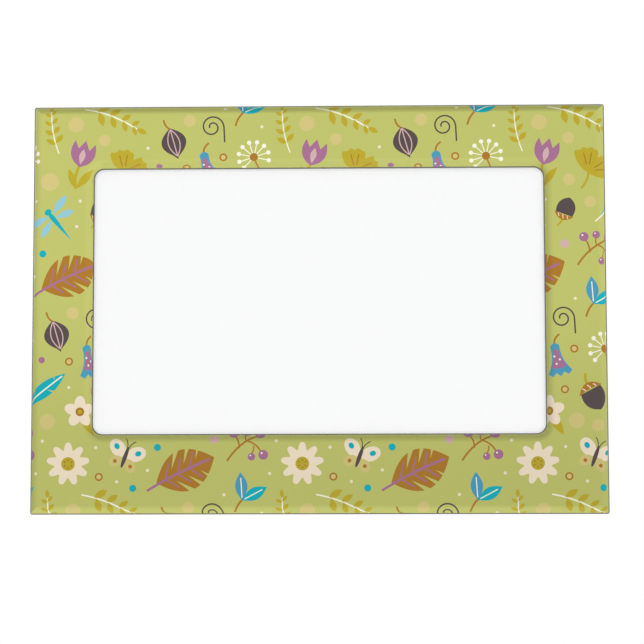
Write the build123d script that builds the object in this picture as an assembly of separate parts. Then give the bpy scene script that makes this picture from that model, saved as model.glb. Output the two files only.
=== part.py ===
from build123d import *
import os

# A magnetic photo frame, landscape. All lengths are in millimetres.
# X runs to the right as seen from the front, Z runs up, and the printed face looks towards -Y.
# The origin is the middle of the plane on which the magnet strips rest.

# The print that the frame holds, and how much of it the face hides at each side and at the top and bottom
card_width = 152.4
card_height = 101.6
card_thickness = 0.3
side_overlap = 6.35
end_overlap = 9.525

# Widths of the face round the window, and the corners
side_rail = 19.05
top_rail = 19.775
bottom_rail = 24.675
outer_corner_radius = 0.6
window_corner_radius = 3.0

# Rolled edges, and the printed film that follows them
roll_radius = 2.5
lip_land = 0.35
film_thickness = 0.15
film_bond = 0.03
film_ledge = 0.3

# Walls and ribs of the moulded front shell
face_wall = 1.5
side_wall = 1.8
window_wall = 1.8
rib_thickness = 1.0
rib_pitch = 20.0
rim_chamfer = 0.3

# The clear sheet, and the pocket that it and the card slide in
sheet_thickness = 0.5
sheet_corner_radius = 1.5
pocket_depth = 1.2
sheet_gap = 0.05
card_gap = 0.1
card_side_gap = 0.5
guide_wall = 1.4
floor_gap = 0.05

# Back plate
plate_thickness = 1.3
plate_gap = 0.2
plate_corner_radius = 1.0
slot_lead_in = 0.6
notch_radius = 15.0
notch_mouth_radius = 3.0

# Pins of the shell that hold the back plate, staked over behind it
pin_radius = 1.25
pin_hole_gap = 0.08
boss_radius = 2.5
head_radius = 2.3
head_height = 0.7
side_pin_margin = 13.5
floor_pin_margin = 36.1

# Magnet strips and their tape, with the margins that they keep from the back plate's edges
magnet_width = 12.7
magnet_thickness = 1.5
magnet_side_margin = 11.9
magnet_end_margin = 17.15
magnet_proud = 0.4
magnet_edge_chamfer = 0.15
tape_thickness = 0.15
tape_inset = 0.35
seat_depth = 0.3
seat_gap = 0.3

# How far a cutting tool runs past the face that it cuts
overrun = 1.0

# Sizes of the window and of the whole frame, and how far the window sits above the middle
window_width = card_width - 2 * side_overlap
window_height = card_height - 2 * end_overlap
frame_width = window_width + 2 * side_rail
frame_height = window_height + top_rail + bottom_rail
window_raise = (bottom_rail - top_rail) / 2

# Depth of each layer, counted forward from the magnets' rear face
seat_y = -(magnet_thickness + tape_thickness)
plate_rear_y = seat_y + seat_depth
plate_front_y = plate_rear_y - plate_thickness
pocket_front_y = plate_front_y - pocket_depth
ledge_y = pocket_front_y - lip_land
film_face_y = ledge_y - roll_radius
shell_face_y = film_face_y + film_thickness + film_bond
core_y = shell_face_y + face_wall
rim_y = -magnet_proud

# Heights and half widths that several pieces share
window_top_z = window_raise + window_height / 2
window_bottom_z = window_raise - window_height / 2
floor_z = window_raise - card_height / 2 - floor_gap
guide_inner_x = card_width / 2 + card_side_gap
guide_outer_x = guide_inner_x + guide_wall
wall_inner_x = frame_width / 2 - side_wall
wall_inner_z = frame_height / 2 - side_wall
plate_half_x = wall_inner_x - plate_gap
plate_half_z = wall_inner_z - plate_gap

# Places of the pins and of the magnet strips
side_pin_x = (guide_outer_x + wall_inner_x) / 2
side_pin_z = plate_half_z - side_pin_margin
floor_pin_x = guide_outer_x - floor_pin_margin
floor_pin_z = (floor_z - guide_wall - wall_inner_z) / 2
magnet_length = 2 * (plate_half_x - magnet_side_margin)
magnet_pitch = plate_half_z - magnet_end_margin - magnet_width / 2


def layer(sketch, rear_y, front_y):
    """A flat sketch, drawn as seen from the front, made solid between two depths."""
    plane = Plane(origin=(0, rear_y, 0), x_dir=(1, 0, 0), z_dir=(0, -1, 0))
    return extrude(plane * sketch, amount=rear_y - front_y)


def block(x_low, x_high, z_low, z_high, rear_y, front_y):
    """A plain block given by its limits."""
    sketch = Pos((x_low + x_high) / 2, (z_low + z_high) / 2) * Rectangle(x_high - x_low, z_high - z_low)
    return layer(sketch, rear_y, front_y)


def round_bar(x, z, radius, rear_y, front_y):
    """A round bar along Y."""
    return layer(Pos(x, z) * Circle(radius), rear_y, front_y)


def outline(inset):
    """The frame's outline, drawn in by an inset."""
    radius = max(outer_corner_radius - inset, film_bond)
    return RectangleRounded(frame_width - 2 * inset, frame_height - 2 * inset, radius)


def window(growth):
    """The window, grown by a wall or a ledge."""
    return Pos(0, window_raise) * RectangleRounded(
        window_width + 2 * growth, window_height + 2 * growth, window_corner_radius + growth
    )


def rolled_crown(inset, rear_y):
    """The face with its rolled outer and window edges, drawn in from the film's outside by an inset."""
    front_y = film_face_y + inset
    edge = film_ledge + inset
    sketch = Rectangle(frame_width - 2 * edge, frame_height - 2 * edge) - window(edge)
    crown = layer(sketch, ledge_y + overrun, front_y)
    edges = crown.edges().filter_by_position(Axis.Y, front_y - film_bond, front_y + film_bond)
    crown = fillet(edges, roll_radius - inset)
    return crown & layer(outline(edge), rear_y, front_y)


def printed_film():
    """The film, as a skin of even thickness over the face and the rolled edges."""
    return rolled_crown(0, ledge_y - film_bond) - rolled_crown(film_thickness, ledge_y)


def places(limit_low, limit_high, pitch):
    """Evenly spaced places, as many as fit between two limits, centred between them."""
    count = max(1, int((limit_high - limit_low) // pitch))
    middle = (limit_low + limit_high) / 2
    return [middle + (i - (count - 1) / 2) * pitch for i in range(count)]


def cavities():
    """The hollow behind the face, round the window's wall, and the room for the pocket and the plate."""
    inside = Rectangle(2 * wall_inner_x, 2 * wall_inner_z)
    hollow = layer(inside - window(window_wall), pocket_front_y, core_y)
    return hollow + layer(inside, rim_y + overrun, pocket_front_y)


def pocket_guides():
    """Walls at both sides of the pocket and along its floor, which the back plate rests on."""
    guides = block(-guide_outer_x, guide_outer_x, floor_z - guide_wall, floor_z, plate_front_y, core_y)
    top_z = wall_inner_z + side_wall / 2
    for side in (-1, 1):
        x_low, x_high = sorted((side * guide_inner_x, side * guide_outer_x))
        guides += block(x_low, x_high, floor_z - guide_wall, top_z, plate_front_y, core_y)
    return guides


def upright_ribs():
    """Ribs across the top and bottom rails: low ones inside the pocket, full ones under its floor."""
    half = rib_thickness / 2
    ribs = []
    for x in places(-window_width / 2, window_width / 2, rib_pitch):
        ribs.append(block(x - half, x + half, window_top_z + window_wall / 2, wall_inner_z + side_wall / 2,
                          pocket_front_y, core_y))
        ribs.append(block(x - half, x + half, floor_z - guide_wall / 2, window_bottom_z - window_wall / 2,
                          pocket_front_y, core_y))
        ribs.append(block(x - half, x + half, -wall_inner_z - side_wall / 2, floor_z - guide_wall / 2,
                          plate_front_y, core_y))
    return ribs


def level_ribs():
    """Ribs across the side rails: low ones inside the pocket, full ones outside its guides."""
    half = rib_thickness / 2
    window_side_x = (window_width + window_wall) / 2
    guide_x = (guide_inner_x + guide_outer_x) / 2
    wall_x = wall_inner_x + side_wall / 2
    ribs = []
    for z in places(window_bottom_z, window_top_z, rib_pitch):
        for side in (-1, 1):
            inner = sorted((side * window_side_x, side * guide_x))
            outer = sorted((side * guide_x, side * wall_x))
            ribs.append(block(*inner, z - half, z + half, pocket_front_y, core_y))
            ribs.append(block(*outer, z - half, z + half, plate_front_y, core_y))
    return ribs


def pin_places():
    """Where the pins stand: three up each side, two under the pocket's floor."""
    sides = [(side * side_pin_x, z) for side in (-1, 1) for z in (-side_pin_z, 0, side_pin_z)]
    return sides + [(side * floor_pin_x, floor_pin_z) for side in (-1, 1)]


def staked_pin(x, z):
    """A boss that carries the back plate, with a pin through the plate and a domed head behind it."""
    boss = round_bar(x, z, boss_radius, plate_front_y, core_y)
    pin = round_bar(x, z, pin_radius, plate_rear_y, plate_front_y)
    dome_radius = (head_radius ** 2 + head_height ** 2) / (2 * head_height)
    dome = Pos(x, plate_rear_y + head_height - dome_radius, z) * Sphere(dome_radius)
    head = dome & round_bar(x, z, head_radius + overrun, plate_rear_y + head_height, plate_rear_y)
    return boss + pin + head


def slot_cuts():
    """The way in through the top wall for the card and the sheet, and the gap for the back plate's tab."""
    z_low, z_high = wall_inner_z - overrun, frame_height / 2 + overrun
    tab_x = guide_outer_x + plate_gap
    slot = block(-guide_inner_x, guide_inner_x, z_low, z_high, rim_y + overrun, pocket_front_y)
    return slot + block(-tab_x, tab_x, z_low, z_high, rim_y + overrun, plate_front_y)


def front_shell():
    """The moulded front: rolled crown, side walls, window wall, pocket guides, ribs and staked pins."""
    base = layer(outline(0), rim_y, ledge_y)
    base = chamfer(base.faces().sort_by(Axis.Y)[-1].edges(), rim_chamfer)
    shell = rolled_crown(film_thickness + film_bond, ledge_y) + base
    shell -= layer(window(0), rim_y + overrun, film_face_y)
    shell -= cavities()
    shell += pocket_guides()
    for rib in upright_ribs() + level_ribs():
        shell += rib
    for x, z in pin_places():
        shell += staked_pin(x, z)
    return shell - slot_cuts()


def plate_outline():
    """The back plate's outline: a panel, a tab up to the frame's top edge and a thumb notch."""
    top_z = frame_height / 2
    panel = RectangleRounded(2 * plate_half_x, 2 * plate_half_z, plate_corner_radius)
    tab = Pos(0, top_z / 2) * Rectangle(2 * guide_outer_x, top_z)
    notch = Pos(0, top_z) * Circle(notch_radius)
    sketch = panel + tab - notch
    mouth = sketch.vertices().sort_by(lambda corner: abs(corner.X) - corner.Y)[:2]
    return fillet(mouth, notch_mouth_radius)


def back_plate():
    """The plate that closes the pocket, with holes for the pins and seats for the magnet strips."""
    plate = layer(plate_outline(), plate_rear_y, plate_front_y)
    top_edge = plate.faces().sort_by(Axis.Y)[0].edges().filter_by(Axis.X).group_by(Axis.Z)[-1]
    plate = chamfer(top_edge, slot_lead_in)
    for x, z in pin_places():
        plate -= round_bar(x, z, pin_radius + pin_hole_gap, plate_rear_y + overrun, plate_front_y - overrun)
    for z in magnet_places().values():
        seat = Pos(0, z) * Rectangle(magnet_length + 2 * seat_gap, magnet_width + 2 * seat_gap)
        plate -= layer(seat, plate_rear_y + overrun, seat_y)
    return plate


def magnet_places():
    """The height of each magnet strip."""
    return {"top": magnet_pitch, "middle": 0, "bottom": -magnet_pitch}


def magnet_strip(z):
    """A flexible magnet strip, cut square, with its rear edges slightly broken."""
    strip = layer(Pos(0, z) * Rectangle(magnet_length, magnet_width), 0, -magnet_thickness)
    return chamfer(strip.faces().sort_by(Axis.Y)[-1].edges(), magnet_edge_chamfer)


def magnet_tape(z):
    """The adhesive tape between a strip and its seat in the back plate."""
    size = (magnet_length - 2 * tape_inset, magnet_width - 2 * tape_inset)
    return layer(Pos(0, z) * Rectangle(*size), -magnet_thickness, seat_y)


def clear_sheet():
    """The clear protector, which stands on the pocket's floor behind the window."""
    rear_y = pocket_front_y + sheet_gap + sheet_thickness
    sketch = Pos(0, window_raise) * RectangleRounded(card_width, card_height, sheet_corner_radius)
    return layer(sketch, rear_y, rear_y - sheet_thickness)


def photo_card():
    """The blank card, which stands behind the clear sheet."""
    front_y = pocket_front_y + sheet_gap + sheet_thickness + card_gap
    sketch = Pos(0, window_raise) * Rectangle(card_width, card_height)
    return layer(sketch, front_y + card_thickness, front_y)


def build():
    """Every piece by its node's name."""
    parts = {
        "front_shell": front_shell(),
        "printed_film": printed_film(),
        "clear_sheet": clear_sheet(),
        "photo_card": photo_card(),
        "back_plate": back_plate(),
    }
    for name, z in magnet_places().items():
        parts[f"magnet_strip_{name}"] = magnet_strip(z)
        parts[f"magnet_tape_{name}"] = magnet_tape(z)
    return parts


os.makedirs("parts", exist_ok=True)
for name, part in build().items():
    export_step(part, f"parts/{name}.step")
    size = part.bounding_box().size
    print(f"{name}: {part.volume:.1f} mm3, {size.X:.2f} x {size.Y:.2f} x {size.Z:.2f} mm")
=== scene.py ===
# %% [markdown]
# # A magnetic photo frame
# The frame is a landscape one for a 4 x 6 in print. A black moulded shell carries a printed vinyl film
# over its rolled edges, a clear sheet and a card slide in from the top, and three flexible magnet strips
# hold it on steel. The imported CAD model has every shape, so this script only dresses it: it makes the
# printed film anew, because colour is what the film is there for, and gives every other piece its finish.

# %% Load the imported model
from math import asin, copysign, cos, exp, hypot, log, pi, radians, sin

import bpy
from mathutils import Matrix, Vector
from mathutils.geometry import delaunay_2d_cdt


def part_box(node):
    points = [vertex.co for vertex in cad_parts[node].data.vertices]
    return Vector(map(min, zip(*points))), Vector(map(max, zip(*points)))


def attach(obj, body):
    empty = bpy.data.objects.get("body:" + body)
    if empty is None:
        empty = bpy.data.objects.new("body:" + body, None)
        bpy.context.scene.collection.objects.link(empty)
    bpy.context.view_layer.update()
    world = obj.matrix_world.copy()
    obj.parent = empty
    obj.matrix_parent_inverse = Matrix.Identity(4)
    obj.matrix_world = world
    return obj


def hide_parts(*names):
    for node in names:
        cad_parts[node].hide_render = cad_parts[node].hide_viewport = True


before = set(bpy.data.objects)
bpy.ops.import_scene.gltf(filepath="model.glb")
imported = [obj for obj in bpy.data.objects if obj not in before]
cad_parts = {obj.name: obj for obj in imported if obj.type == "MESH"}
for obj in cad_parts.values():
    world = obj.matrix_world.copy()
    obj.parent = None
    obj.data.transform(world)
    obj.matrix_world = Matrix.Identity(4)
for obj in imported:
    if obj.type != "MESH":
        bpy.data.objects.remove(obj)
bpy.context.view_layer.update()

MM = 0.001
print("pieces of the packed model:", ", ".join(sorted(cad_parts)))

# %% [markdown]
# ## The camera
# The eight corners of the frame and of its window were found in the photograph, and the place, turn and
# lens were solved from them, which left less than a pixel at each. The camera stands 0.6 m away, a little
# to the right of the middle and a little below it, which is why the bottom edge looks longer than the top
# one. Back is the way from the object to the camera, from which the rest follows.

# %% Stand the camera where the photograph was taken
CAMERA_PLACE = (0.01524, -0.60147, -0.05731)
CAMERA_AZIMUTH = radians(1.362)
CAMERA_ELEVATION = radians(-5.071)
CAMERA_ROLL = radians(-0.093)
FOCAL_PIXELS = 1938.4
IMAGE_PIXELS = 644
SENSOR_WIDTH = 36.0
CLIP_START = 0.01

back = Vector((
    sin(CAMERA_AZIMUTH) * cos(CAMERA_ELEVATION),
    -cos(CAMERA_AZIMUTH) * cos(CAMERA_ELEVATION),
    sin(CAMERA_ELEVATION),
))
level_right = Vector((cos(CAMERA_AZIMUTH), sin(CAMERA_AZIMUTH), 0))
level_up = back.cross(level_right)
right = level_right * cos(CAMERA_ROLL) + level_up * sin(CAMERA_ROLL)
up = back.cross(right)

camera_data = bpy.data.cameras.new("camera")
camera_data.sensor_width = SENSOR_WIDTH
camera_data.lens = FOCAL_PIXELS / IMAGE_PIXELS * SENSOR_WIDTH
camera_data.clip_start = CLIP_START
camera = bpy.data.objects.new("camera", camera_data)
camera.matrix_world = Matrix.Translation(CAMERA_PLACE) @ Matrix((right, up, back)).transposed().to_4x4()
bpy.context.scene.collection.objects.link(camera)
bpy.context.scene.camera = camera
bpy.context.scene.view_settings.view_transform = "Standard"
print("lens in mm:", round(camera_data.lens, 2))

# %% [markdown]
# ## Tools for node trees
# The world and the materials are trees of nodes. Each node takes several lines to make, set and link. These
# short functions do it in one, so that the trees below read like sums.

# %% Nodes, links and sums
def join(tree, value, socket):
    """Sets a socket to a value, or links it where the value is another node's socket."""
    if isinstance(value, bpy.types.NodeSocket):
        tree.links.new(value, socket)
    else:
        socket.default_value = value


def feed(tree, node, **values):
    """Sets or links inputs of a node. A label's spaces are written as underscores."""
    for label, value in values.items():
        join(tree, value, node.inputs[label.replace("_", " ")])


def add(tree, kind, **values):
    """A node with its inputs set or linked."""
    node = tree.nodes.new(kind)
    feed(tree, node, **values)
    return node


def maths(tree, operation, *values):
    """The output of a Math node."""
    node = add(tree, "ShaderNodeMath")
    node.operation = operation
    for value, socket in zip(values, node.inputs):
        join(tree, value, socket)
    return node.outputs[0]


def ramp(tree, value, start, end, first=0.0, last=1.0, curve="LINEAR"):
    """A number that goes from first to last while a value goes from start to end, and holds outside."""
    node = add(tree, "ShaderNodeMapRange", Value=value, From_Min=start, From_Max=end)
    feed(tree, node, To_Min=first, To_Max=last)
    node.interpolation_type = curve
    return node.outputs["Result"]


def new_material(name, **values):
    """A material, its node tree and its shader, with what is the same all over set on the shader."""
    material = bpy.data.materials.new(name)
    material.use_nodes = True
    shader = material.node_tree.nodes["Principled BSDF"]
    feed(material.node_tree, shader, **values)
    return material, material.node_tree, shader


print("tools ready")

# %% [markdown]
# ## Light, floor and background
# The photograph has a pure white background, very soft light and no shadows at all, not even in the window.
# The rolled edges tell where the light comes from. Those that face up are darker, as if only the white
# surroundings reached them, and those that face left fade into that shade. Those that face down or right
# are brighter than the face. So there is an even white fill, and one lamp from steeply below and a little
# to the right. The fill is the world. The lamp is a sun that casts no shadow, like the many small lights of
# a light tent, whose shadows drown in each other. A second, weaker sun lights the black back.
# The camera, reflections and what shines through see a plain white world.

# %% The world
WORLD_FILL = 0.71
WHITE = (1.0, 1.0, 1.0, 1.0)

world = bpy.data.worlds.new("white surroundings")
bpy.context.scene.world = world
world.use_nodes = True
tree = world.node_tree
sky = tree.nodes["Background"]
ray = tree.nodes.new("ShaderNodeLightPath").outputs
mirrored = maths(tree, "MAXIMUM", ray["Is Camera Ray"], ray["Is Glossy Ray"])
seen = maths(tree, "MAXIMUM", mirrored, ray["Is Transmission Ray"])
feed(tree, sky, Color=WHITE, Strength=ramp(tree, seen, 0.0, 1.0, WORLD_FILL, 1.0))
print("fill from the world:", WORLD_FILL)


# %% The lamps
FROM_BELOW_AND_RIGHT = (0.34, -0.56, -0.76)
FROM_BEHIND = (-0.6, 1.0, 0.5)


def sun(name, way, watts, degrees, shadow=True):
    """A sun lamp that shines from a way. The more degrees it spans, the softer it is."""
    light = bpy.data.lights.new(name, "SUN")
    light.energy = watts
    light.angle = radians(degrees)
    light.use_shadow = shadow
    lamp = bpy.data.objects.new(name, light)
    lamp.rotation_euler = Vector(way).to_track_quat("Z", "Y").to_euler()
    bpy.context.scene.collection.objects.link(lamp)
    return lamp


lamps = [
    sun("light from below and the right", FROM_BELOW_AND_RIGHT, watts=1.66, degrees=20, shadow=False),
    sun("light on the back", FROM_BEHIND, watts=0.8, degrees=40),
]
print("lamps:", [(lamp.name, round(lamp.data.energy, 2)) for lamp in lamps])

# %% A pale round floor, far enough below the frame to leave the view white
FLOOR_DROP = 2.0
FLOOR_RADIUS = 1.2
FLOOR_CORNERS = 64
FLOOR_GREY = (0.9, 0.9, 0.9, 1.0)

floor_rim = []
for i in range(FLOOR_CORNERS):
    turn = 2 * pi * i / FLOOR_CORNERS
    floor_rim.append((FLOOR_RADIUS * cos(turn), FLOOR_RADIUS * sin(turn), -FLOOR_DROP))
floor_mesh = bpy.data.meshes.new("floor")
floor_mesh.from_pydata(floor_rim, [], [list(range(FLOOR_CORNERS))])
floor = bpy.data.objects.new("floor", floor_mesh)
bpy.context.scene.collection.objects.link(floor)
paint, tree, shader = new_material("pale floor", Base_Color=FLOOR_GREY, Roughness=0.8)
floor_mesh.materials.append(paint)
print("floor", FLOOR_DROP, "m below the middle magnet strip")


# %% [markdown]
# ## Shared effects
# Moulded plastic, rubber, vinyl and paper all have some grain and a slow change of tone, and some pieces
# have worn edges or rub marks. Each of these is a node group, made once and placed in materials with their
# own numbers. A group only puts out colours, masks and heights. The shader itself stays in the material.

# %% Tools for groups
NUMBER = "NodeSocketFloat"
COLOUR = "NodeSocketColor"


def new_group(name, inputs, outputs):
    """A node group with inputs at their usual values, what it is given, and its end."""
    group = bpy.data.node_groups.new(name, "ShaderNodeTree")
    for label, value in inputs.items():
        kind = COLOUR if isinstance(value, tuple) else NUMBER
        group.interface.new_socket(label, in_out="INPUT", socket_type=kind).default_value = value
    for label, kind in outputs.items():
        group.interface.new_socket(label, in_out="OUTPUT", socket_type=kind)
    return group, add(group, "NodeGroupInput").outputs, add(group, "NodeGroupOutput")


def placed_group(tree, group, **values):
    """The outputs of a group that is placed in a material with its own numbers."""
    node = add(tree, "ShaderNodeGroup")
    node.node_tree = group
    feed(tree, node, **values)
    return node.outputs


def vector_maths(tree, operation, *values, gives="Vector"):
    """The output of a Vector Math node: a vector, or a number where it gives a value."""
    node = add(tree, "ShaderNodeVectorMath")
    node.operation = operation
    for value, socket in zip(values, node.inputs):
        join(tree, value, socket)
    return node.outputs[gives]


def scaled(tree, colour, factor):
    """A colour times a number."""
    node = add(tree, "ShaderNodeVectorMath")
    node.operation = "SCALE"
    join(tree, colour, node.inputs[0])
    join(tree, factor, node.inputs["Scale"])
    return node.outputs["Vector"]


def on_piece(tree, size):
    """A point's place on its own piece, and the scale that gives a texture cells of a size in mm."""
    return add(tree, "ShaderNodeTexCoord").outputs["Object"], maths(tree, "DIVIDE", 1 / MM, size)


print("tools for groups ready")

# %% Grain: a fine, even roughness of the surface
PIT_SHARE = 0.5

grain, given, end = new_group("grain", {"Size mm": 0.2, "Softness": 0.5}, {"Height": NUMBER})
where, pitch = on_piece(grain, given["Size mm"])
noise = add(grain, "ShaderNodeTexNoise", Vector=where, Scale=pitch, Detail=3.0, Roughness=given["Softness"])
pits = add(grain, "ShaderNodeTexVoronoi", Vector=where, Scale=pitch).outputs["Distance"]
feed(grain, end, Height=maths(grain, "MULTIPLY_ADD", pits, PIT_SHARE, noise.outputs["Fac"]))
print("group:", grain.name)

# %% Mottle: a colour that drifts a little lighter and darker
NOISE_MEAN = 0.5
NOISE_GAIN = 4.0
MID_GREY = (0.5, 0.5, 0.5, 1.0)

mottle, given, end = new_group(
    "mottle", {"Color": MID_GREY, "Size mm": 20.0, "Amount": 0.05}, {"Color": COLOUR, "Mask": NUMBER}
)
where, pitch = on_piece(mottle, given["Size mm"])
noise = add(mottle, "ShaderNodeTexNoise", Vector=where, Scale=pitch, Detail=4.0, Roughness=0.55)
drift = noise.outputs["Fac"]
centred = maths(mottle, "SUBTRACT", drift, NOISE_MEAN)
change = maths(mottle, "MULTIPLY_ADD", centred, maths(mottle, "MULTIPLY", given["Amount"], NOISE_GAIN), 1.0)
feed(mottle, end, Color=scaled(mottle, given["Color"], change), Mask=drift)
print("group:", mottle.name)

# %% Edge wear: a broken mask along sharp edges, where handling polishes and pales them
BEVEL_SAMPLES = 6
EDGE_GAIN = 6.0
PATCH_START, PATCH_END = 0.42, 0.62

edge_wear, given, end = new_group(
    "edge wear", {"Width mm": 0.3, "Amount": 1.0, "Patch mm": 3.0}, {"Mask": NUMBER}
)
rounded = add(edge_wear, "ShaderNodeBevel", Radius=maths(edge_wear, "MULTIPLY", given["Width mm"], MM))
rounded.samples = BEVEL_SAMPLES
true_normal = add(edge_wear, "ShaderNodeNewGeometry").outputs["Normal"]
likeness = vector_maths(edge_wear, "DOT_PRODUCT", rounded.outputs[0], true_normal, gives="Value")
edge = maths(edge_wear, "MULTIPLY", maths(edge_wear, "SUBTRACT", 1.0, likeness), EDGE_GAIN)
where, pitch = on_piece(edge_wear, given["Patch mm"])
patches = add(edge_wear, "ShaderNodeTexNoise", Vector=where, Scale=pitch, Detail=5.0, Roughness=0.65)
broken = ramp(edge_wear, patches.outputs["Fac"], PATCH_START, PATCH_END)
worn = maths(edge_wear, "MULTIPLY", maths(edge_wear, "MULTIPLY", edge, broken), given["Amount"])
feed(edge_wear, end, Mask=maths(edge_wear, "MINIMUM", worn, 1.0))
print("group:", edge_wear.name)

# %% Scuffs: thin, gently curved rub marks, each way as turn, start and end of its areas
SWAY_REACH = (0.006, 0.0, 0.006)
STREAK_PITCH = (38.0, 900.0, 1900.0)
STREAK_START, STREAK_END = 0.64, 0.74
RUB_WAYS = ((0.0, 0.48, 0.60), (1.1, 0.52, 0.40))

scuffs, given, end = new_group("scuffs", {"Amount": 0.5, "Turn": 0.3}, {"Mask": NUMBER})
where = add(scuffs, "ShaderNodeTexCoord").outputs["Object"]
sway = add(scuffs, "ShaderNodeTexNoise", Vector=where, Scale=24.0, Detail=1.0).outputs["Color"]
swayed = vector_maths(scuffs, "MULTIPLY_ADD", sway, SWAY_REACH, where)
few = add(scuffs, "ShaderNodeTexNoise", Vector=where, Scale=38.0, Detail=2.0).outputs["Fac"]
marks = []
for turn, start, whole in RUB_WAYS:
    angle = maths(scuffs, "ADD", given["Turn"], turn)
    turned = add(scuffs, "ShaderNodeVectorRotate", Vector=swayed, Angle=angle)
    turned.rotation_type = "Y_AXIS"
    drawn = vector_maths(scuffs, "MULTIPLY", turned.outputs[0], STREAK_PITCH)
    streaks = add(scuffs, "ShaderNodeTexNoise", Vector=drawn, Scale=1.0, Detail=2.0).outputs["Fac"]
    thin = ramp(scuffs, streaks, STREAK_START, STREAK_END)
    marks.append(maths(scuffs, "MULTIPLY", thin, ramp(scuffs, few, start, whole)))
rubs = maths(scuffs, "MAXIMUM", *marks)
feed(scuffs, end, Mask=maths(scuffs, "MULTIPLY", rubs, given["Amount"]))
print("group:", scuffs.name)


# %% [markdown]
# ## The printed film: its flat sheet
# The film is a vinyl sheet of 0.15 mm, printed flat and then drawn over the shell's rolled edges, outside
# and round the window. An image could carry the print, but drawn outlines stay sharp from close up. So the
# sheet is laid out flat first, in millimetres along its own surface, with u to the right and v up. The
# motifs are drawn there as outlines, and each triangle then gets one ink. Last, the sheet is folded.

# %% Sizes of the sheet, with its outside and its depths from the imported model
film_low, film_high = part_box("printed_film")
ROLL_RADIUS = 2.5
FILM_THICKNESS = 0.15
SIDE_ANGLE = radians(86)
OUTER_CORNER = 0.3
WINDOW_HALF_U, WINDOW_HALF_V = 70.15, 41.575
WINDOW_CORNER = 3.3
WINDOW_RAISE = 2.45
CORNER_STEPS = 12
BEND_STEPS = 10
WELD_DIGITS = 3

face_y = film_low.y / MM
rear_y = film_high.y / MM
film_half_u = film_high.x / MM
film_half_v = film_high.z / MM
flat_half_u = film_half_u - ROLL_RADIUS
flat_half_v = film_half_v - ROLL_RADIUS
border_half_u = WINDOW_HALF_U + ROLL_RADIUS
border_half_v = WINDOW_HALF_V + ROLL_RADIUS
border_corner = WINDOW_CORNER + ROLL_RADIUS
bend_length = ROLL_RADIUS * SIDE_ANGLE
print("face at y =", round(face_y, 2), "mm; each bend takes", round(bend_length, 2), "mm of vinyl")


# %% [markdown]
# ## Drawing tools for the print
# Every motif is put together from a few simple outlines: ovals, leaves, strokes and arcs. A motif gives out
# an ink and an outline at a time, from the bottom up. The print is a plain pattern of garden things on a
# green ground.

# %% Outlines
def around(radius, degrees):
    """The point at a radius and an angle, which goes anticlockwise from the right."""
    angle = radians(degrees)
    return radius * cos(angle), radius * sin(angle)


def placed(points, x, z, tilt, size=1.0):
    """Points turned by tilt degrees, sized and moved."""
    along, aside = around(size, tilt)
    return [(x + u * along - v * aside, z + u * aside + v * along) for u, v in points]


def oval(x, z, half_width, half_height, tilt=0.0, corners=36):
    """A closed oval."""
    turns = [2 * pi * i / corners for i in range(corners)]
    return placed([(half_width * cos(a), half_height * sin(a)) for a in turns], x, z, tilt)


def disc(x, z, radius, corners=24):
    """A round disc."""
    return oval(x, z, radius, radius, 0, corners)


def leaf(x, z, length, width, tilt=0.0, belly=0.5, steps=12):
    """A leaf whose stalk end is at x, z, with both ends pointed, widest at belly."""
    power = log(0.5) / log(belly)
    side = [(t / steps, width / 2 * sin(pi * (t / steps) ** power)) for t in range(steps + 1)]
    edge = [(length * t, w) for t, w in side] + [(length * t, -w) for t, w in side[-2:0:-1]]
    return placed(edge, x, z, tilt)


def left_of(ax, az, bx, bz, length):
    """A step of a length to the left of the way from a to b."""
    run = hypot(bx - ax, bz - az)
    return -(bz - az) / run * length, (bx - ax) / run * length


def arc(ax, az, bx, bz, sag, steps=10):
    """Points on a shallow arc from a to b that bulges sideways by sag."""
    left_x, left_z = left_of(ax, az, bx, bz, 1)
    points = []
    for i in range(steps + 1):
        t = i / steps
        out = sag * 4 * t * (1 - t)
        points.append((ax + (bx - ax) * t + left_x * out, az + (bz - az) * t + left_z * out))
    return points


def stroke(line, width):
    """A thin line of even width with plain ends."""
    left, right = [], []
    for i, (x, z) in enumerate(line):
        before, after = line[max(i - 1, 0)], line[min(i + 1, len(line) - 1)]
        step_x, step_z = left_of(*before, *after, width / 2)
        left.append((x + step_x, z + step_z))
        right.append((x - step_x, z - step_z))
    return left + right[::-1]


def rosette(radius, petals, dip):
    """A round flower outline whose petals dip in by a share of the radius."""
    points = []
    corners = petals * 12
    for i in range(corners):
        angle = 2 * pi * i / corners
        reach = radius * (1 - dip * (0.5 - 0.5 * cos(petals * angle)) ** 1.5)
        points.append((reach * cos(angle), reach * sin(angle)))
    return points


print("a leaf has", len(leaf(0, 0, 10, 4)), "points")


# %% Flowers
def daisy():
    """An open flower, seen from above."""
    yield "cream", rosette(6.6, 9, 0.36)
    yield "mustard", disc(0, 0, 2.1, 32)
    for turn in range(20, 380, 60):
        yield "brown", disc(*around(1.15, turn), 0.27, 12)


def tulip():
    """A cup flower on a stem with two leaves."""
    cup = arc(-3.2, 6.6, 0, -1.4, -2.1)[:-1] + arc(0, -1.4, 3.2, 6.6, -2.1)
    yield "mustard", stroke(arc(0, -0.5, 0.6, -8.4, -0.7), 0.85)
    yield "mustard", leaf(0.6, -8.2, 8.0, 2.4, 62)
    yield "mustard", leaf(0.4, -8.2, 6.6, 2.2, 122)
    yield "mauve", cup + [(1.7, 4.3), (0, 7.2), (-1.7, 4.3)]
    yield "rose", leaf(0, -0.6, 5.0, 1.9, 90, 0.55)


def posy():
    """A five-petalled flower with a leaf behind it."""
    yield "mustard", leaf(0.5, -1.0, 8.4, 2.9, -58)
    for turn in range(18, 378, 72):
        yield "cream", oval(*around(2.9, turn), 2.55, 1.85, turn)
    yield "brown", disc(0, 0, 1.5)
    yield "mustard", disc(0, 0, 0.8, 16)


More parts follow.
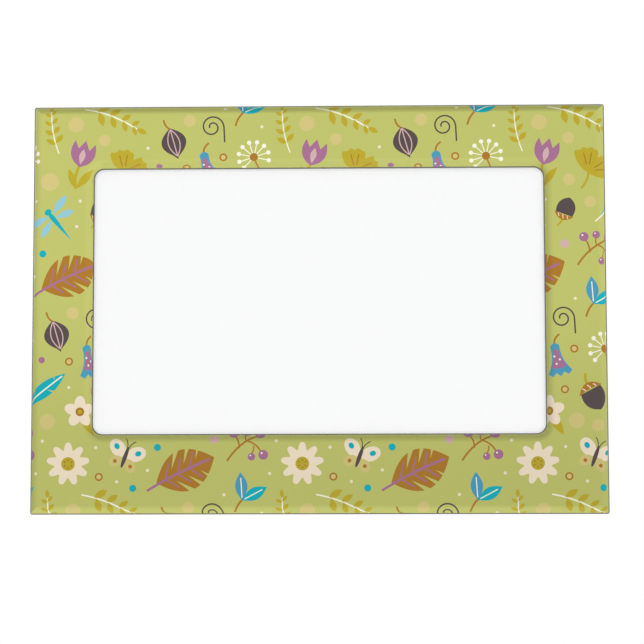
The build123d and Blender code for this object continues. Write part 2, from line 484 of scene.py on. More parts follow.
def bell():
    """A hanging bell flower with a paler rim."""
    teeth = [(-2.6, -4.6), (-1.3, -3.5), (0, -4.8), (1.3, -3.5), (2.6, -4.6)]
    cup = arc(-1.5, 5.2, -4.0, -3.4, 0.9) + teeth + arc(4.0, -3.4, 1.5, 5.2, 0.9)
    inner = arc(-0.9, 3.9, -2.5, -1.7, 0.4) + arc(-2.5, -1.7, 2.5, -1.7, -0.5)[1:]
    yield "brown", stroke(arc(0, 5.6, 2.4, 8.6, 0.6), 0.6)
    yield "blue", cup + arc(1.5, 5.2, -1.5, 5.2, -0.9)[1:-1]
    yield "mauve", inner + arc(2.5, -1.7, 0.9, 3.9, 0.4)[1:]
    for x, z in ((-0.8, 1.9), (0.7, 0.6), (-0.6, -0.6)):
        yield "white", disc(x, z, 0.33, 10)


print("shapes in each flower:", [len(list(make())) for make in (daisy, tulip, posy, bell)])


# %% Leaves and twigs
def split_leaf():
    """A big broad leaf with slits between its veins."""
    yield "brown", arc(-9.6, 0, 9.8, 0, -6.4, 20)[:-1] + arc(9.8, 0, -9.6, 0, -6.4, 20)[:-1]
    for x in (-4.6, -0.6, 3.4):
        for side in (-1, 1):
            yield "ground", [(x + 0.9, side * 1.9), (x + 4.0, side * 7.4), (x + 5.3, side * 6.6)]
            yield "mauve", stroke([(x - 1.8, side * 0.3), (x + 0.9, side * 4.0)], 0.4)
    yield "mauve", stroke(arc(-13.2, -1.0, 8.2, 0, 0.5), 0.75)


def feather():
    """A long feather with a pale quill and a few nicks."""
    yield "teal", leaf(-10.0, 0, 20.0, 4.6, 0, 0.58, 18)
    for x, side in ((-2.5, 1), (2.0, -1), (5.6, 1)):
        yield "ground", [(x, side * 0.35), (x + 2.7, side * 3.4), (x + 1.5, side * 3.6)]
    yield "white", stroke(arc(-12.4, -0.5, 8.6, 0, 0.25), 0.42)


def sprig():
    """A thin stem with pairs of leaves and one at its tip."""
    stem_length, rise = 17.0, 0.9
    yield "white", stroke(arc(-9.0, 0, 8.0, 0, rise), 0.42)
    for i, x in enumerate((-5.2, -1.4, 2.4, 5.8)):
        along = (x + 9) / stem_length
        z = rise * 4 * along * (1 - along)
        size = 4.4 - 0.5 * i
        yield "mustard", leaf(x, z, size, size * 0.46, 52)
        yield "mustard", leaf(x + 0.6, z, size, size * 0.46, -52)
    yield "mustard", leaf(7.6, 0.1, 3.4, 1.6, -4)


def berry_twig():
    """A forked twig with round berries."""
    yield "brown", stroke(arc(-5.6, -4.2, 4.2, 3.8, 1.1), 0.6)
    yield "brown", stroke(arc(-1.8, -0.3, -3.4, 4.0, -0.4), 0.5)
    yield "brown", stroke(arc(0.8, 1.9, 4.9, -1.6, 0.6), 0.5)
    yield "brown", stroke(arc(0.2, 2.2, 0.2, 4.3, 0.2), 0.4)
    yield "brown", stroke(arc(2.6, 0.4, 2.0, -1.9, 0.2), 0.4)
    berries = ((4.6, 4.4, 1.55), (-3.6, 4.6, 1.45), (5.5, -2.3, 1.5), (0.2, 5.2, 1.2), (1.9, -2.9, 1.15))
    for x, z, radius in berries:
        yield "mauve", disc(x, z, radius)
        yield "white", disc(x - radius * 0.3, z + radius * 0.35, radius * 0.2, 10)


def twin_leaf():
    """Two leaves on one stalk, each with a pale vein."""
    yield "brown", stroke(arc(0, -5.4, 0, -0.4, 0.4), 0.6)
    for tilt, ink in ((58, "teal"), (124, "blue")):
        yield ink, leaf(0, -0.8, 8.6, 3.8, tilt)
        yield "white", placed(stroke([(0.8, 0), (6.9, 0)], 0.32), 0, -0.8, tilt)


def fan_leaf():
    """A fan-shaped leaf with a notch in its edge."""
    edge = []
    for i in range(25):
        reach = 7.4 + 0.35 * cos(i * 1.9) - 1.9 * exp(-((i - 12) / 1.3) ** 2)
        edge.append(around(reach, 20 + i * 140 / 24))
    yield "mustard", stroke(arc(0, 0.2, 1.2, -5.6, 0.6), 0.7)
    yield "mustard", arc(0, -0.4, *edge[0], -0.9, 6)[:-1] + edge + arc(*edge[-1], 0, -0.4, -0.9, 6)[1:-1]
    for turn in (42, 66, 114, 138):
        yield "brown", stroke([around(2.2, turn), around(5.9, turn)], 0.32)


def tendril():
    """A curl that winds in on itself."""
    curl = [around(4.6 - 3.7 * i / 40, i * 14) for i in range(41)]
    yield "dark", stroke([(4.9, -6.0), (4.8, -3.6)] + curl, 0.6)


print("shapes in a split leaf and a sprig:", len(list(split_leaf())), len(list(sprig())))


# %% Seeds and small winged things
def acorn():
    """A nut in its cup."""
    yield "mustard", stroke(arc(0, 2.5, 1.1, 5.6, 0.3), 0.8)
    yield "dark", arc(-3.3, 0.4, 0, -6.4, -1.7)[:-1] + arc(0, -6.4, 3.3, 0.4, -1.7)
    yield "brown", arc(4.0, 0.2, -4.0, 0.2, -2.6) + arc(-4.0, 0.2, 4.0, 0.2, 0.5)[1:-1]
    for x in (-1.6, 0.2, 2.0):
        yield "cream", stroke(arc(x - 0.5, 2.2 - abs(x) * 0.25, x + 0.1, 0.7, 0.15), 0.3)


def seed_head():
    """Fine spokes with a dot at each end, on a stalk."""
    yield "brown", stroke(arc(0, -1.0, -0.8, -9.4, 0.5), 0.5)
    for turn in range(-30, 240, 30):
        tip = around(5.0, turn)
        yield "white", stroke([(0, 0), tip], 0.32)
        yield "white", disc(*tip, 0.72, 14)
    yield "brown", disc(0, 0, 1.35, 20)


def lantern_pod():
    """A lantern-shaped seed pod with ribs."""
    side = arc(0, 4.6, -0.2, -5.2, -4.0, 14)
    yield "brown", stroke(arc(0, 4.2, -1.2, 7.8, 0.5), 0.6)
    yield "dark", side[:-1] + [(0, -6.0)] + [(-x, z) for x, z in side[:0:-1]]
    for sag in (-1.9, 0, 1.9):
        yield "rose", stroke(arc(0, 4.2, 0, -5.0, sag), 0.36)


def butterfly():
    """A small butterfly with spread wings."""
    for side in (-1, 1):
        yield "cream", oval(side * 3.0, 2.0, 3.1, 2.2, side * 38)
        yield "tan", oval(side * 2.3, -2.0, 2.2, 1.6, side * -42)
        yield "teal", oval(side * 3.5, 2.4, 1.0, 0.8, side * 38, 18)
        yield "brown", disc(side * 2.5, -2.1, 0.6, 14)
        yield "dark", stroke(arc(side * 0.2, 2.6, side * 1.7, 5.6, side * 0.4), 0.3)
    yield "dark", oval(0, 0, 0.62, 3.4, 0, 24)


def dragonfly():
    """A dragonfly with two pairs of narrow wings."""
    for side in (-1, 1):
        yield "sky", leaf(0, 2.4, 8.0, 2.3, 90 - side * 76, 0.62)
        yield "sky", leaf(0, 1.3, 7.0, 2.1, 90 - side * 108, 0.62)
    yield "teal", leaf(0, 3.6, 11.4, 1.5, -90, 0.2)
    yield "teal", oval(0, 3.9, 1.15, 0.95, 0, 20)


def ring():
    """A small ring."""
    yield "brown", disc(0, 0, 1.25)
    yield "tan", disc(0, 0, 0.75, 18)


print("shapes in an acorn and a butterfly:", len(list(acorn())), len(list(butterfly())))

# %% [markdown]
# ## The repeat
# A printer's cylinder prints the same tile again and again. Here the tile is 72 x 60 mm, and each row is
# moved by half a tile, so that the motifs don't line up in columns. The places were spread until no motif
# touched another, and dots and rings then took the free places.

# %% One tile, as motif, across, up, turn and size
REPEAT_WIDTH, REPEAT_HEIGHT = 72.0, 60.0
REPEAT_START = (-6.0, 10.0)
SMALL_DOT = 0.9
MOTIFS = [
    (split_leaf, 1.0, 0.0, 24, 1.0),
    (daisy, 37.0, 2.0, 10, 1.0),
    (tulip, 4.0, 35.5, -14, 1.0),
    (feather, 28.5, 24.0, 38, 0.95),
    (seed_head, 58.0, 37.0, 18, 0.95),
    (acorn, 53.5, 24.0, 28, 1.0),
    (sprig, 14.0, 49.0, -22, 1.05),
    (berry_twig, 19.5, 7.0, 0, 1.0),
    (bell, 43.5, 33.0, 12, 0.95),
    (butterfly, 54.5, 4.0, -20, 1.0),
    (twin_leaf, 55.0, 51.5, -30, 1.0),
    (posy, 40.5, 18.0, 0, 0.9),
    (fan_leaf, 17.5, 32.0, -35, 1.0),
    (dragonfly, 68.5, 17.0, 40, 1.0),
    (lantern_pod, 33.0, 42.0, 16, 0.95),
    (sprig, 68.0, 45.5, 100, 0.8),
    (tendril, 45.0, 46.5, 0, 0.8),
    (acorn, 10.0, 19.0, 160, 0.8),
]
RINGS = [(10.5, 58.0), (45.5, 24.5), (48.5, 37.0), (37.0, 33.5)]
DOTS = {
    ("tan", 2.8): [(66.5, 29.5)],
    ("tan", 2.4): [(30.5, 15.0), (2.5, 47.5), (49.0, 15.0)],
    ("tan", 1.9): [(55.5, 13.5), (38.0, 48.5)],
    ("tan", 1.8): [(11.5, 42.5), (18.0, 22.5), (11.5, 29.5)],
    ("rose", 1.4): [(10.0, 9.5)],
    ("teal", 1.1): [(64.5, 7.0), (21.0, 54.5)],
    ("mauve", 1.0): [(28.5, 34.0)],
    ("cream", 0.5): [
        (63.0, 59.0), (60.5, 46.5), (62.0, 23.5), (3.0, 15.5), (49.0, 52.5), (25.0, 40.0),
        (29.0, 9.0), (16.0, 56.5), (4.0, 23.5), (45.5, 7.0), (61.5, 0.0), (37.0, 25.5),
    ],
}


def one_tile():
    """Every shape of one tile, from the bottom up."""
    rings = [(ring, across, up_tile, 0, 1.0) for across, up_tile in RINGS]
    for make, across, up_tile, tilt, size in MOTIFS + rings:
        for ink, outline in make():
            yield ink, placed(outline, across, up_tile, tilt, size)
    for (ink, radius), spots in DOTS.items():
        corners = 24 if radius > SMALL_DOT else 12
        for across, up_tile in spots:
            yield ink, disc(across, up_tile, radius, corners)


tile = list(one_tile())
print("one tile has", len(tile), "shapes")


# %% The tile repeated over the sheet, without what falls beside it or in the window
ROWS = range(-3, 3)
COLUMNS = range(-4, 4)


def on_sheet(outline, slack=1.0):
    """Whether an outline reaches the vinyl."""
    left, right = min(u for u, v in outline), max(u for u, v in outline)
    low, high = min(v for u, v in outline), max(v for u, v in outline)
    half_u, half_v = film_half_u + slack, film_half_v + slack
    beside = left > half_u or right < -half_u or low > half_v or high < -half_v
    hole_u, hole_v = WINDOW_HALF_U - slack, WINDOW_HALF_V - slack
    hole_low, hole_high = WINDOW_RAISE - hole_v, WINDOW_RAISE + hole_v
    in_hole = left > -hole_u and right < hole_u and low > hole_low and high < hole_high
    return not beside and not in_hole


print_shapes = []
for row in ROWS:
    for column in COLUMNS:
        start_u = REPEAT_START[0] + (column + 0.5 * (row % 2)) * REPEAT_WIDTH
        start_v = REPEAT_START[1] + row * REPEAT_HEIGHT
        for ink, outline in tile:
            moved = placed(outline, start_u, start_v, 0)
            if on_sheet(moved):
                print_shapes.append((ink, moved))
print("shapes on the sheet:", len(print_shapes))


# %% [markdown]
# ## From outlines to triangles
# A constrained Delaunay triangulation takes all outlines at once, cuts them where they cross, and says for
# each triangle which outlines it lies in. The last of these was drawn on top, so its ink wins. Lines along
# the bends go in as well, so that the vinyl has edges to bend at.

# %% The sheet's own lines
def rounded_rectangle(half_u, half_v, corner, raise_v=0.0):
    """A rectangle with round corners, anticlockwise."""
    points = []
    for turn, (side_u, side_v) in enumerate(((1, 1), (-1, 1), (-1, -1), (1, -1))):
        for i in range(CORNER_STEPS + 1):
            out_u, out_v = around(corner, 90 * (turn + i / CORNER_STEPS))
            v = side_v * (half_v - corner) + out_v
            points.append((side_u * (half_u - corner) + out_u, v + raise_v))
    return points


def in_radii(place, start):
    """How far a place lies past a start on either side of the middle, in radii of the roll."""
    return max(abs(place) - start, 0) / ROLL_RADIUS


def outer_boundary():
    """The sheet's outside on the flat, which folds to the film's round-cornered outline."""
    inset = ROLL_RADIUS * (1 - sin(SIDE_ANGLE))
    plan = rounded_rectangle(film_half_u - inset, film_half_v - inset, OUTER_CORNER)
    points = []
    for x, z in plan:
        u = flat_half_u + ROLL_RADIUS * asin(in_radii(x, flat_half_u))
        v = flat_half_v + ROLL_RADIUS * asin(in_radii(z, flat_half_v))
        points.append((copysign(u, x), copysign(v, z)))
    return points


def round_hole(past):
    """The line round the window at a length past the start of its bend."""
    half_u, half_v = border_half_u - past, border_half_v - past
    return rounded_rectangle(half_u, half_v, border_corner - past, WINDOW_RAISE)


def bend_lines():
    """Lines along the outer bends and round the window's bend."""
    loops = []
    for i in range(BEND_STEPS):
        past = bend_length * i / BEND_STEPS
        half_u, half_v = flat_half_u + past, flat_half_v + past
        loops.append([(half_u, half_v), (-half_u, half_v), (-half_u, -half_v), (half_u, -half_v)])
        loops.append(round_hole(past))
    return loops


print("lines along the bends:", len(bend_lines()))


# %% Triangles, each with its ink
SHEET, HOLE = 0, 1
WHOLE_HULL = 0
SLACK = 1e-5


def anticlockwise(outline):
    """The outline, turned round if it runs clockwise."""
    area = sum(a[0] * b[1] - b[0] * a[1] for a, b in zip(outline, outline[1:] + outline[:1]))
    return outline if area > 0 else outline[::-1]


def flat_triangles():
    """Points and triangles of the printed sheet, and the ink of each triangle."""
    points, edges, areas = [], [], []
    for outline in [outer_boundary(), round_hole(bend_length)] + [outline for ink, outline in print_shapes]:
        first = len(points)
        points += [Vector(p) for p in anticlockwise(outline)]
        areas.append(list(range(first, len(points))))
    for loop in bend_lines():
        first = len(points)
        points += [Vector(p) for p in loop]
        count = len(loop)
        edges += [(first + i, first + (i + 1) % count) for i in range(count)]
    for side_u in (-1, 1):
        for side_v in (-1, 1):
            first = len(points)
            for past in (0, bend_length):
                points.append(Vector((side_u * (flat_half_u + past), side_v * (flat_half_v + past))))
            edges.append((first, first + 1))
    found, _, triangles, _, _, inside = delaunay_2d_cdt(points, edges, areas, WHOLE_HULL, SLACK, True)
    inks = ["ground", None] + [ink for ink, outline in print_shapes]
    number, welded, kept, kept_inks = {}, [], [], []
    for triangle, ids in zip(triangles, inside):
        if SHEET not in ids or HOLE in ids:
            continue
        corners = []
        for c in triangle:
            key = (round(found[c][0], WELD_DIGITS), round(found[c][1], WELD_DIGITS))
            if key not in number:
                number[key] = len(welded)
                welded.append(key)
            corners.append(number[key])
        if len(set(corners)) == 3:
            kept.append(corners)
            kept_inks.append(inks[max(ids)])
    return welded, kept, kept_inks


sheet_points, sheet_triangles, sheet_inks = flat_triangles()
print("points:", len(sheet_points), "triangles:", len(sheet_triangles))


# %% [markdown]
# ## Folding the sheet
# A point of the sheet that lies past the start of a bend goes round an arc. With its distance past that
# start in radii of the roll as the turn, it moves out by radius x sin(turn) and back by radius x
# (1 - cos(turn)). The film's back makes the same turn on a smaller radius, so the film is even in thickness.
# At the frame's corners two bends meet in a mitre, and the one that is further round sets the depth.

# %% Where a point of the sheet goes
def round_window(u, v):
    """How far a point lies past the start of the window's bend, and the way from the window outwards."""
    across = abs(u) - (border_half_u - border_corner)
    upward = abs(v - WINDOW_RAISE) - (border_half_v - border_corner)
    if across > 0 and upward > 0:
        reach = hypot(across, upward)
        way = (across / reach, upward / reach)
    else:
        reach = max(across, upward)
        way = (1.0, 0.0) if across > upward else (0.0, 1.0)
    way = (copysign(way[0], u), copysign(way[1], v - WINDOW_RAISE))
    return border_corner - reach, way


def fold(u, v, depth=0.0):
    """The place in millimetres of a point of the sheet, or of the point at a depth behind it."""
    radius = ROLL_RADIUS - depth
    past, way = round_window(u, v)
    if past > 0:
        slide = past - radius * sin(past / ROLL_RADIUS)
        x, z = u + way[0] * slide, v + way[1] * slide
        return x, face_y + depth + radius * (1 - cos(past / ROLL_RADIUS)), z
    turn_u, turn_v = in_radii(u, flat_half_u), in_radii(v, flat_half_v)
    x = copysign(min(abs(u), flat_half_u) + radius * sin(turn_u), u)
    z = copysign(min(abs(v), flat_half_v) + radius * sin(turn_v), v)
    return x, face_y + depth + radius * (1 - cos(max(turn_u, turn_v))), z


def facing(u, v, middle):
    """The way the vinyl looks at a corner of a triangle with that middle."""
    past, way = round_window(u, v)
    if round_window(*middle)[0] > 0:
        lean = max(past, 0) / ROLL_RADIUS
        return -way[0] * sin(lean), -cos(lean), -way[1] * sin(lean)
    over_u, over_v = abs(middle[0]) - flat_half_u, abs(middle[1]) - flat_half_v
    if max(over_u, over_v) <= 0:
        return 0.0, -1.0, 0.0
    if over_u > over_v:
        lean = in_radii(u, flat_half_u)
        return copysign(sin(lean), u), -cos(lean), 0.0
    lean = in_radii(v, flat_half_v)
    return 0.0, -cos(lean), copysign(sin(lean), v)


print("the sheet's corner folds to", [round(c, 2) for c in fold(*outer_boundary()[CORNER_STEPS // 2])])


# %% The edge of the sheet: its boundary edges, with the way out
def boundary_edges(triangles):
    """Edges that only one triangle has, each with the number of that triangle."""
    owner = {}
    for number, t in enumerate(triangles):
        for a, b in zip(t, t[1:] + t[:1]):
            if (b, a) in owner:
                del owner[(b, a)]
            else:
                owner[(a, b)] = number
    return owner


def ways_out(edges, points):
    """For each corner on the boundary, the way out of the sheet on the flat."""
    out = {}
    for a, b in edges:
        du, dv = points[b][0] - points[a][0], points[b][1] - points[a][1]
        length = hypot(du, dv)
        for corner in (a, b):
            old = out.get(corner, (0.0, 0.0))
            out[corner] = (old[0] + dv / length, old[1] - du / length)
    return {c: (x / hypot(x, z), z / hypot(x, z)) for c, (x, z) in out.items()}


sheet_edges = boundary_edges(sheet_triangles)
sheet_ways = ways_out(sheet_edges, sheet_points)
print("edges on the boundary:", len(sheet_edges))


# %% [markdown]
# ## The film as a closed piece
# The front triangles, the same ones again at the back, and a narrow wall and rim along both boundaries make
# one closed skin. Each corner of a face carries its ink in a colour attribute, so that one material prints
# them all with hard edges between inks. The normals are worked out from the bend and given to the mesh,
# because long thin triangles would give streaks on the rolled edges. The map is the flat sheet itself, with
# the back at a smaller scale under it, so that an exported texture keeps the print straight and sharp.

# %% Inks
def from_screen(red, green, blue):
    """A colour as it is on a screen, 0 to 255, turned into linear light."""
    parts = [c / 255 for c in (red, green, blue)]
    return tuple(c / 12.92 if c <= 0.04045 else ((c + 0.055) / 1.055) ** 2.4 for c in parts) + (1.0,)


INKS = {
    "ground": from_screen(195, 198, 109),
    "cream": from_screen(247, 230, 204),
    "brown": from_screen(174, 121, 37),
    "mustard": from_screen(190, 171, 42),
    "teal": from_screen(0, 177, 188),
    "mauve": from_screen(170, 113, 149),
    "dark": from_screen(86, 73, 73),
    "sky": from_screen(146, 203, 218),
    "blue": from_screen(74, 158, 190),
    "rose": from_screen(214, 178, 176),
    "tan": from_screen(214, 200, 128),
    "white": from_screen(250, 250, 228),
    "backing": from_screen(205, 205, 200),
}
print("triangles by ink:", {ink: sheet_inks.count(ink) for ink in INKS if ink in sheet_inks})

# %% Faces, inks, normals and map of the film
MAP_SCALE = 1 / 182.0
FRONT_ON_MAP = (0.5, 0.64)
BACK_ON_MAP = (0.2, 0.13)
BACK_SCALE = MAP_SCALE * 0.3
STRIP = 0.15

points_of_film = [fold(u, v) for u, v in sheet_points]
points_of_film += [fold(u, v, FILM_THICKNESS) for u, v in sheet_points]
behind = len(sheet_points)
rim_front, rim_back = {}, {}
for corner in sheet_ways:
    for rim, above in ((rim_front, corner), (rim_back, behind + corner)):
        x, _, z = points_of_film[above]
        rim[corner] = len(points_of_film)
        points_of_film.append((x, rear_y, z))


def on_map(u, v, middle=FRONT_ON_MAP, scale=MAP_SCALE):
    """The place of a point on the map, which it shares with nothing else."""
    return middle[0] + u * scale, middle[1] + v * scale


def stepped_out(corner, steps):
    """A boundary corner on the map, moved out by some strips."""
    (u, v), (out_u, out_v) = sheet_points[corner], sheet_ways[corner]
    return on_map(u + out_u * STRIP * steps, v + out_v * STRIP * steps)


film_faces, film_inks, film_normals, film_map = [], [], [], []
for t, ink in zip(sheet_triangles, sheet_inks):
    middle = [sum(sheet_points[c][i] for c in t) / 3 for i in (0, 1)]
    film_faces.append(t)
    film_inks.append(ink)
    film_normals += [facing(*sheet_points[c], middle) for c in t]
    film_map += [on_map(*sheet_points[c]) for c in t]
for t in sheet_triangles:
    film_faces.append([behind + c for c in t[::-1]])
    film_inks.append("backing")
    film_normals += [None] * 3
    film_map += [on_map(*sheet_points[c], BACK_ON_MAP, BACK_SCALE) for c in t[::-1]]
for (a, b), number in sheet_edges.items():
    rows = [(a, b), (rim_front[a], rim_front[b]), (rim_back[a], rim_back[b]), (behind + a, behind + b)]
    for step, ((a0, b0), (a1, b1)) in enumerate(zip(rows, rows[1:])):
        film_faces.append([b0, a0, a1, b1])
        film_inks.append(sheet_inks[number])
        film_normals += [None] * 4
        corners = ((b, step), (a, step), (a, step + 1), (b, step + 1))
        film_map += [stepped_out(corner, steps) for corner, steps in corners]
print("faces of the film:", len(film_faces))

# %% The film's object
film_mesh = bpy.data.meshes.new("film")
film_mesh.from_pydata([tuple(c * MM for c in p) for p in points_of_film], [], film_faces)
ink_colours = film_mesh.color_attributes.new("ink", "FLOAT_COLOR", "CORNER")
film_uv = film_mesh.uv_layers.new(name="OFBake")
for face, ink in zip(film_mesh.polygons, film_inks):
    for loop in face.loop_indices:
        ink_colours.data[loop].color = INKS[ink]
        film_uv.uv[loop].vector = film_map[loop]
        if film_normals[loop] is None:
            film_normals[loop] = tuple(face.normal)
film_mesh.shade_smooth()
film_mesh.normals_split_custom_set(film_normals)
film = bpy.data.objects.new("printed_vinyl_film", film_mesh)
bpy.context.scene.collection.objects.link(film)
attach(film, "frame")
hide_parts("printed_film")
print("film in mm:", [round(max(places) - min(places), 2) for places in zip(*points_of_film)])

# %% [markdown]
# ## The film's finish
# Printed vinyl has a soft gloss. Close up, the ink lies in a very fine grain, the tone drifts a little from
# place to place, and the surface has the slight orange peel of a calendered sheet. The ink colour comes
# from the attribute, and the groups change it only a little. Over the ink lies painted shade. The face is
# painted darker towards the bottom and the right, which stands in for light that falls off over it, while
# the white card stays even. The rolls that face down are painted as dark as the bottom edge, so they all
# have one tone. The roll along the top edge is painted darker than the one under the window, though both
# face up. That painted shade is deepest halfway round the roll.

# %% Tools for finishes
def between(tree, share, first, second):
    """A colour between two others."""
    node = tree.nodes.new("ShaderNodeMix")
    node.data_type = "RGBA"
    for value, socket in zip((share, first, second), (node.inputs[0], node.inputs[6], node.inputs[7])):
        join(tree, value, socket)
    return node.outputs[2]


def parts_of(tree, kind):
    """The X, Y and Z of a point's place on its piece, or of its normal."""
    return add(tree, "ShaderNodeSeparateXYZ", Vector=add(tree, "ShaderNodeTexCoord").outputs[kind]).outputs


def roughen(tree, shader, size, softness, strength, depth):
    """Gives a shader bumps from the grain group, of a size and a depth in mm."""
    height = placed_group(tree, grain, Size_mm=size, Softness=softness)["Height"]
    bump = add(tree, "ShaderNodeBump", Strength=strength, Distance=depth * MM, Height=height)
    feed(tree, shader, Normal=bump.outputs["Normal"])


print("tools for finishes ready")

# %% Printed vinyl: its painted shade, towards the bottom and right and on the rolls, with places in metres
FALL_LEFT, FALL_RIGHT, PAINTED_SHADE_RIGHT = -0.089, 0.089, 0.945
FALL_LOW, FALL_HIGH, PAINTED_SHADE_LOW = -0.064, 0.02, 0.84
LOOKS_LEVEL, LOOKS_DOWN = -0.12, -0.55
TOP_ROLL_FROM = 0.058
TOP_ROLL_SHADE = 0.64

vinyl, tree, shader = new_material("printed vinyl", IOR=1.46, Specular_IOR_Level=0.25)
place = parts_of(tree, "Object")
looks = parts_of(tree, "Normal")
# Painted shade: the face is painted darker towards the right and towards the bottom, standing in for light
# that falls off over it.
across = ramp(tree, place["X"], FALL_LEFT, FALL_RIGHT, 1.0, PAINTED_SHADE_RIGHT)
painted_shade_downward = ramp(tree, place["Z"], FALL_LOW, FALL_HIGH, PAINTED_SHADE_LOW, 1.0, curve="SMOOTHERSTEP")
# Painted shade: rolls that face down are painted as dark as the bottom edge, holding back the light of the
# lamp from below.
under = ramp(tree, looks["Z"], LOOKS_LEVEL, LOOKS_DOWN)
painted_shade_by_facing = ramp(tree, under, 0.0, 1.0, painted_shade_downward, PAINTED_SHADE_LOW)
# Painted shade on the roll along the top edge, deepest halfway round it.
lift = maths(tree, "MAXIMUM", looks["Z"], 0.0)
hump = maths(tree, "MULTIPLY", lift, maths(tree, "SUBTRACT", 1.0, lift))
top_roll_shade_mask = maths(tree, "MULTIPLY", hump, maths(tree, "GREATER_THAN", place["Z"], TOP_ROLL_FROM))
top_roll_painted_shade = maths(tree, "SUBTRACT", 1.0, maths(tree, "MULTIPLY", top_roll_shade_mask, TOP_ROLL_SHADE))
whole_painted_shade = maths(tree, "MULTIPLY", maths(tree, "MULTIPLY", across, painted_shade_by_facing), top_roll_painted_shade)
print("least tone on the face:", round(PAINTED_SHADE_RIGHT * PAINTED_SHADE_LOW, 3))

# %% Printed vinyl: its ink, drift, gloss and peel
GLOSSY, DULL = 0.45, 0.58

ink_node = tree.nodes.new("ShaderNodeVertexColor")
ink_node.layer_name = "ink"
# The ink colour times the painted shade of the face and the rolls.
printed = scaled(tree, ink_node.outputs["Color"], whole_painted_shade)
drift = placed_group(tree, mottle, Color=printed, Size_mm=45.0, Amount=0.012)
speck = placed_group(tree, mottle, Color=drift["Color"], Size_mm=0.35, Amount=0.02)
gloss = ramp(tree, drift["Mask"], 0.0, 1.0, GLOSSY, DULL)
feed(tree, shader, Base_Color=speck["Color"], Roughness=gloss)
roughen(tree, shader, size=0.6, softness=0.4, strength=0.12, depth=0.02)
film_mesh.materials.append(vinyl)
print("material:", vinyl.name)


# %% [markdown]
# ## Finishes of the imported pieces
# The other solids have the right shape already, so they stay and get their own materials. Their faces are
# shaded smooth except at real edges, so that the domed pin heads and the round corners look round. The
# black pieces pale where hands and tables rub them, at their edges and in a few fine marks.

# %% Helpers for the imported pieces
SMOOTH_ANGLE = radians(30)
EDGE_WEAR = 0.5


def dress(node, material):
    """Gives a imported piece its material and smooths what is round."""
    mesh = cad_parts[node].data
    mesh.shade_smooth()
    mesh.set_sharp_from_angle(angle=SMOOTH_ANGLE)
    mesh.materials.clear()
    mesh.materials.append(material)
    print(f"{node}: {material.name}, {len(mesh.polygons)} faces")


def rubbed(tree, colour, pale, width, patch, scuff, turn):
    """A colour that is paler where it is rubbed, and the mask of those places."""
    edges = placed_group(tree, edge_wear, Width_mm=width, Amount=EDGE_WEAR, Patch_mm=patch)["Mask"]
    marks = placed_group(tree, scuffs, Amount=scuff, Turn=turn)["Mask"]
    worn = maths(tree, "MAXIMUM", edges, marks)
    return between(tree, worn, colour, pale), worn


# %% [markdown]
# ## The moulded shell
# The shell is black moulded plastic with a fine spark-eroded texture, satin and slightly uneven. Its edges
# are a little paler and smoother from handling. The narrow ledge that stays bare round the film is paler
# still, because the knife that trims the film runs along it. Of the shell's faces only the ledge looks to
# the front in that plane, so its depth and its normal single it out.

# %% Black moulded plastic
SHELL_BLACK = (0.018, 0.018, 0.019, 1.0)
SHELL_PALE = (0.075, 0.075, 0.075, 1.0)
LEDGE_GREY = (0.16, 0.16, 0.15, 1.0)
LEDGE_SLACK = 0.05 * MM
LOOKS_FORWARD = -0.9
SATIN, POLISHED = 0.52, 0.36

moulded, tree, shader = new_material("black moulded plastic", IOR=1.5, Specular_IOR_Level=0.3)
tone = placed_group(tree, mottle, Color=SHELL_BLACK, Size_mm=12.0, Amount=0.1)["Color"]
paler, worn = rubbed(tree, tone, SHELL_PALE, width=0.35, patch=4.0, scuff=0.35, turn=0.2)
in_plane = maths(tree, "COMPARE", parts_of(tree, "Object")["Y"], film_high.y, LEDGE_SLACK)
forward = maths(tree, "LESS_THAN", parts_of(tree, "Normal")["Y"], LOOKS_FORWARD)
trimmed = between(tree, maths(tree, "MULTIPLY", in_plane, forward), paler, LEDGE_GREY)
feed(tree, shader, Base_Color=trimmed, Roughness=ramp(tree, worn, 0.0, 1.0, SATIN, POLISHED))
roughen(tree, shader, size=0.22, softness=0.6, strength=0.5, depth=0.04)
dress("front_shell", moulded)

# %% [markdown]
# ## The back plate
# The plate is a thin black sheet with a leather-like embossed grain, matt, with rub marks where it slides
# over a table.

# %% Embossed black sheet
PLATE_BLACK = (0.02, 0.02, 0.0215, 1.0)
PLATE_PALE = (0.085, 0.085, 0.085, 1.0)

embossed, tree, shader = new_material(
    "embossed black sheet", Roughness=0.55, IOR=1.48, Specular_IOR_Level=0.35
)
tone = placed_group(tree, mottle, Color=PLATE_BLACK, Size_mm=25.0, Amount=0.1)["Color"]
paler, _ = rubbed(tree, tone, PLATE_PALE, width=0.3, patch=5.0, scuff=0.45, turn=-0.5)
feed(tree, shader, Base_Color=paler)
roughen(tree, shader, size=1.1, softness=0.35, strength=0.9, depth=0.3)
dress("back_plate", embossed)

# %% [markdown]
# ## The magnet strips
# Flexible magnet is ferrite powder in rubber, rolled out and slit. It is brown-black and matt, with a few
# fine rub marks. Under each strip lies a white double-sided tape.

# %% Ferrite rubber, and its tape
FERRITE_BROWN = (0.038, 0.031, 0.027, 1.0)
FERRITE_PALE = (0.1, 0.09, 0.082, 1.0)
TAPE_WHITE = (0.78, 0.78, 0.74, 1.0)

ferrite, tree, shader = new_material("ferrite rubber", Roughness=0.78, IOR=1.5, Specular_IOR_Level=0.3)
tone = placed_group(tree, mottle, Color=FERRITE_BROWN, Size_mm=9.0, Amount=0.12)["Color"]
marks = placed_group(tree, scuffs, Amount=0.7, Turn=0.0)["Mask"]
feed(tree, shader, Base_Color=between(tree, marks, tone, FERRITE_PALE))
roughen(tree, shader, size=0.16, softness=0.7, strength=0.45, depth=0.04)

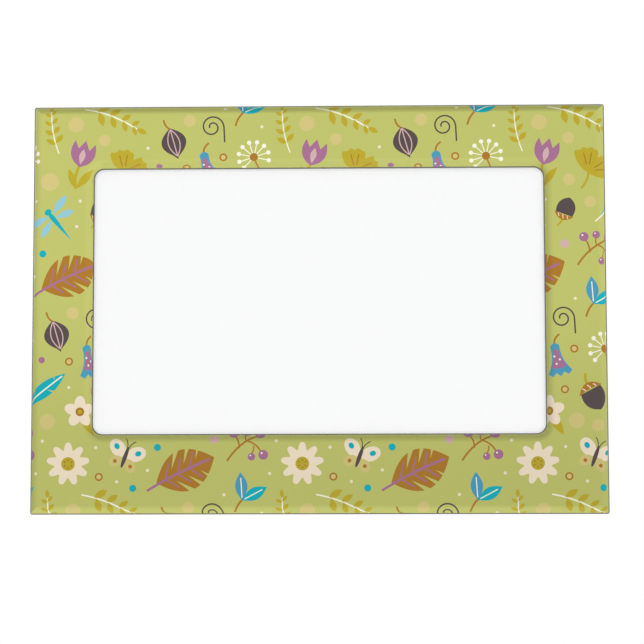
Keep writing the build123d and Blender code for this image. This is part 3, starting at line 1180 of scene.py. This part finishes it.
adhesive, tree, shader = new_material("white adhesive tape", Roughness=0.6)
tone = placed_group(tree, mottle, Color=TAPE_WHITE, Size_mm=3.0, Amount=0.04)["Color"]
feed(tree, shader, Base_Color=tone)
for row in ("top", "middle", "bottom"):
    dress(f"magnet_strip_{row}", ferrite)
    dress(f"magnet_tape_{row}", adhesive)

# %% [markdown]
# ## The card and the clear sheet
# The card is smooth white board with a faint fibre. The clear sheet over it is thin, so the light goes
# straight through instead of bending as in thick glass. Only the share that a plastic surface reflects stays
# on it, 4 % straight on and more the flatter the view, and that share is a near-white coat: a painted
# reflection of the white surroundings. A few faint scuffs make it real from close up. Its cut edge is
# frosted and darker, as that of any die-cut sheet, so it can be seen when it is pulled out.

# %% White card
CARD_WHITE = (0.935, 0.935, 0.93, 1.0)

board, tree, shader = new_material("white card", Roughness=0.55)
tone = placed_group(tree, mottle, Color=CARD_WHITE, Size_mm=1.6, Amount=0.006)["Color"]
feed(tree, shader, Base_Color=tone)
roughen(tree, shader, size=0.3, softness=0.7, strength=0.1, depth=0.02)
dress("photo_card", board)

# %% Clear sheet
CLEAR_IOR = 1.49
REFLECTION_AND_SCUFF_TINT = (0.97, 0.98, 0.98, 1.0)
CUT_TINT = (0.42, 0.5, 0.5, 1.0)
CUT_COVER = 0.7
LOOKS_SIDEWAYS = 0.5
SMOOTH, FROSTED = 0.05, 0.35

clear, tree, shader = new_material("clear sheet", IOR=CLEAR_IOR)
lean = maths(tree, "ABSOLUTE", parts_of(tree, "Normal")["Y"])
cut = maths(tree, "LESS_THAN", lean, LOOKS_SIDEWAYS)
feed(tree, shader, Base_Color=between(tree, cut, REFLECTION_AND_SCUFF_TINT, CUT_TINT))
marks = placed_group(tree, scuffs, Amount=0.06, Turn=0.8)["Mask"]
# Painted reflection: where the Fresnel share covers the sheet, its near-white colour stands in for the
# reflection of the white surroundings.
sheen = add(tree, "ShaderNodeFresnel", IOR=CLEAR_IOR).outputs["Fac"]
painted_reflection_and_scuffs = maths(tree, "MAXIMUM", sheen, marks)
cover = maths(tree, "MAXIMUM", painted_reflection_and_scuffs, maths(tree, "MULTIPLY", cut, CUT_COVER))
frosted = maths(tree, "MAXIMUM", marks, cut)
feed(tree, shader, Alpha=cover, Roughness=ramp(tree, frosted, 0.0, 1.0, SMOOTH, FROSTED))
dress("clear_sheet", clear)
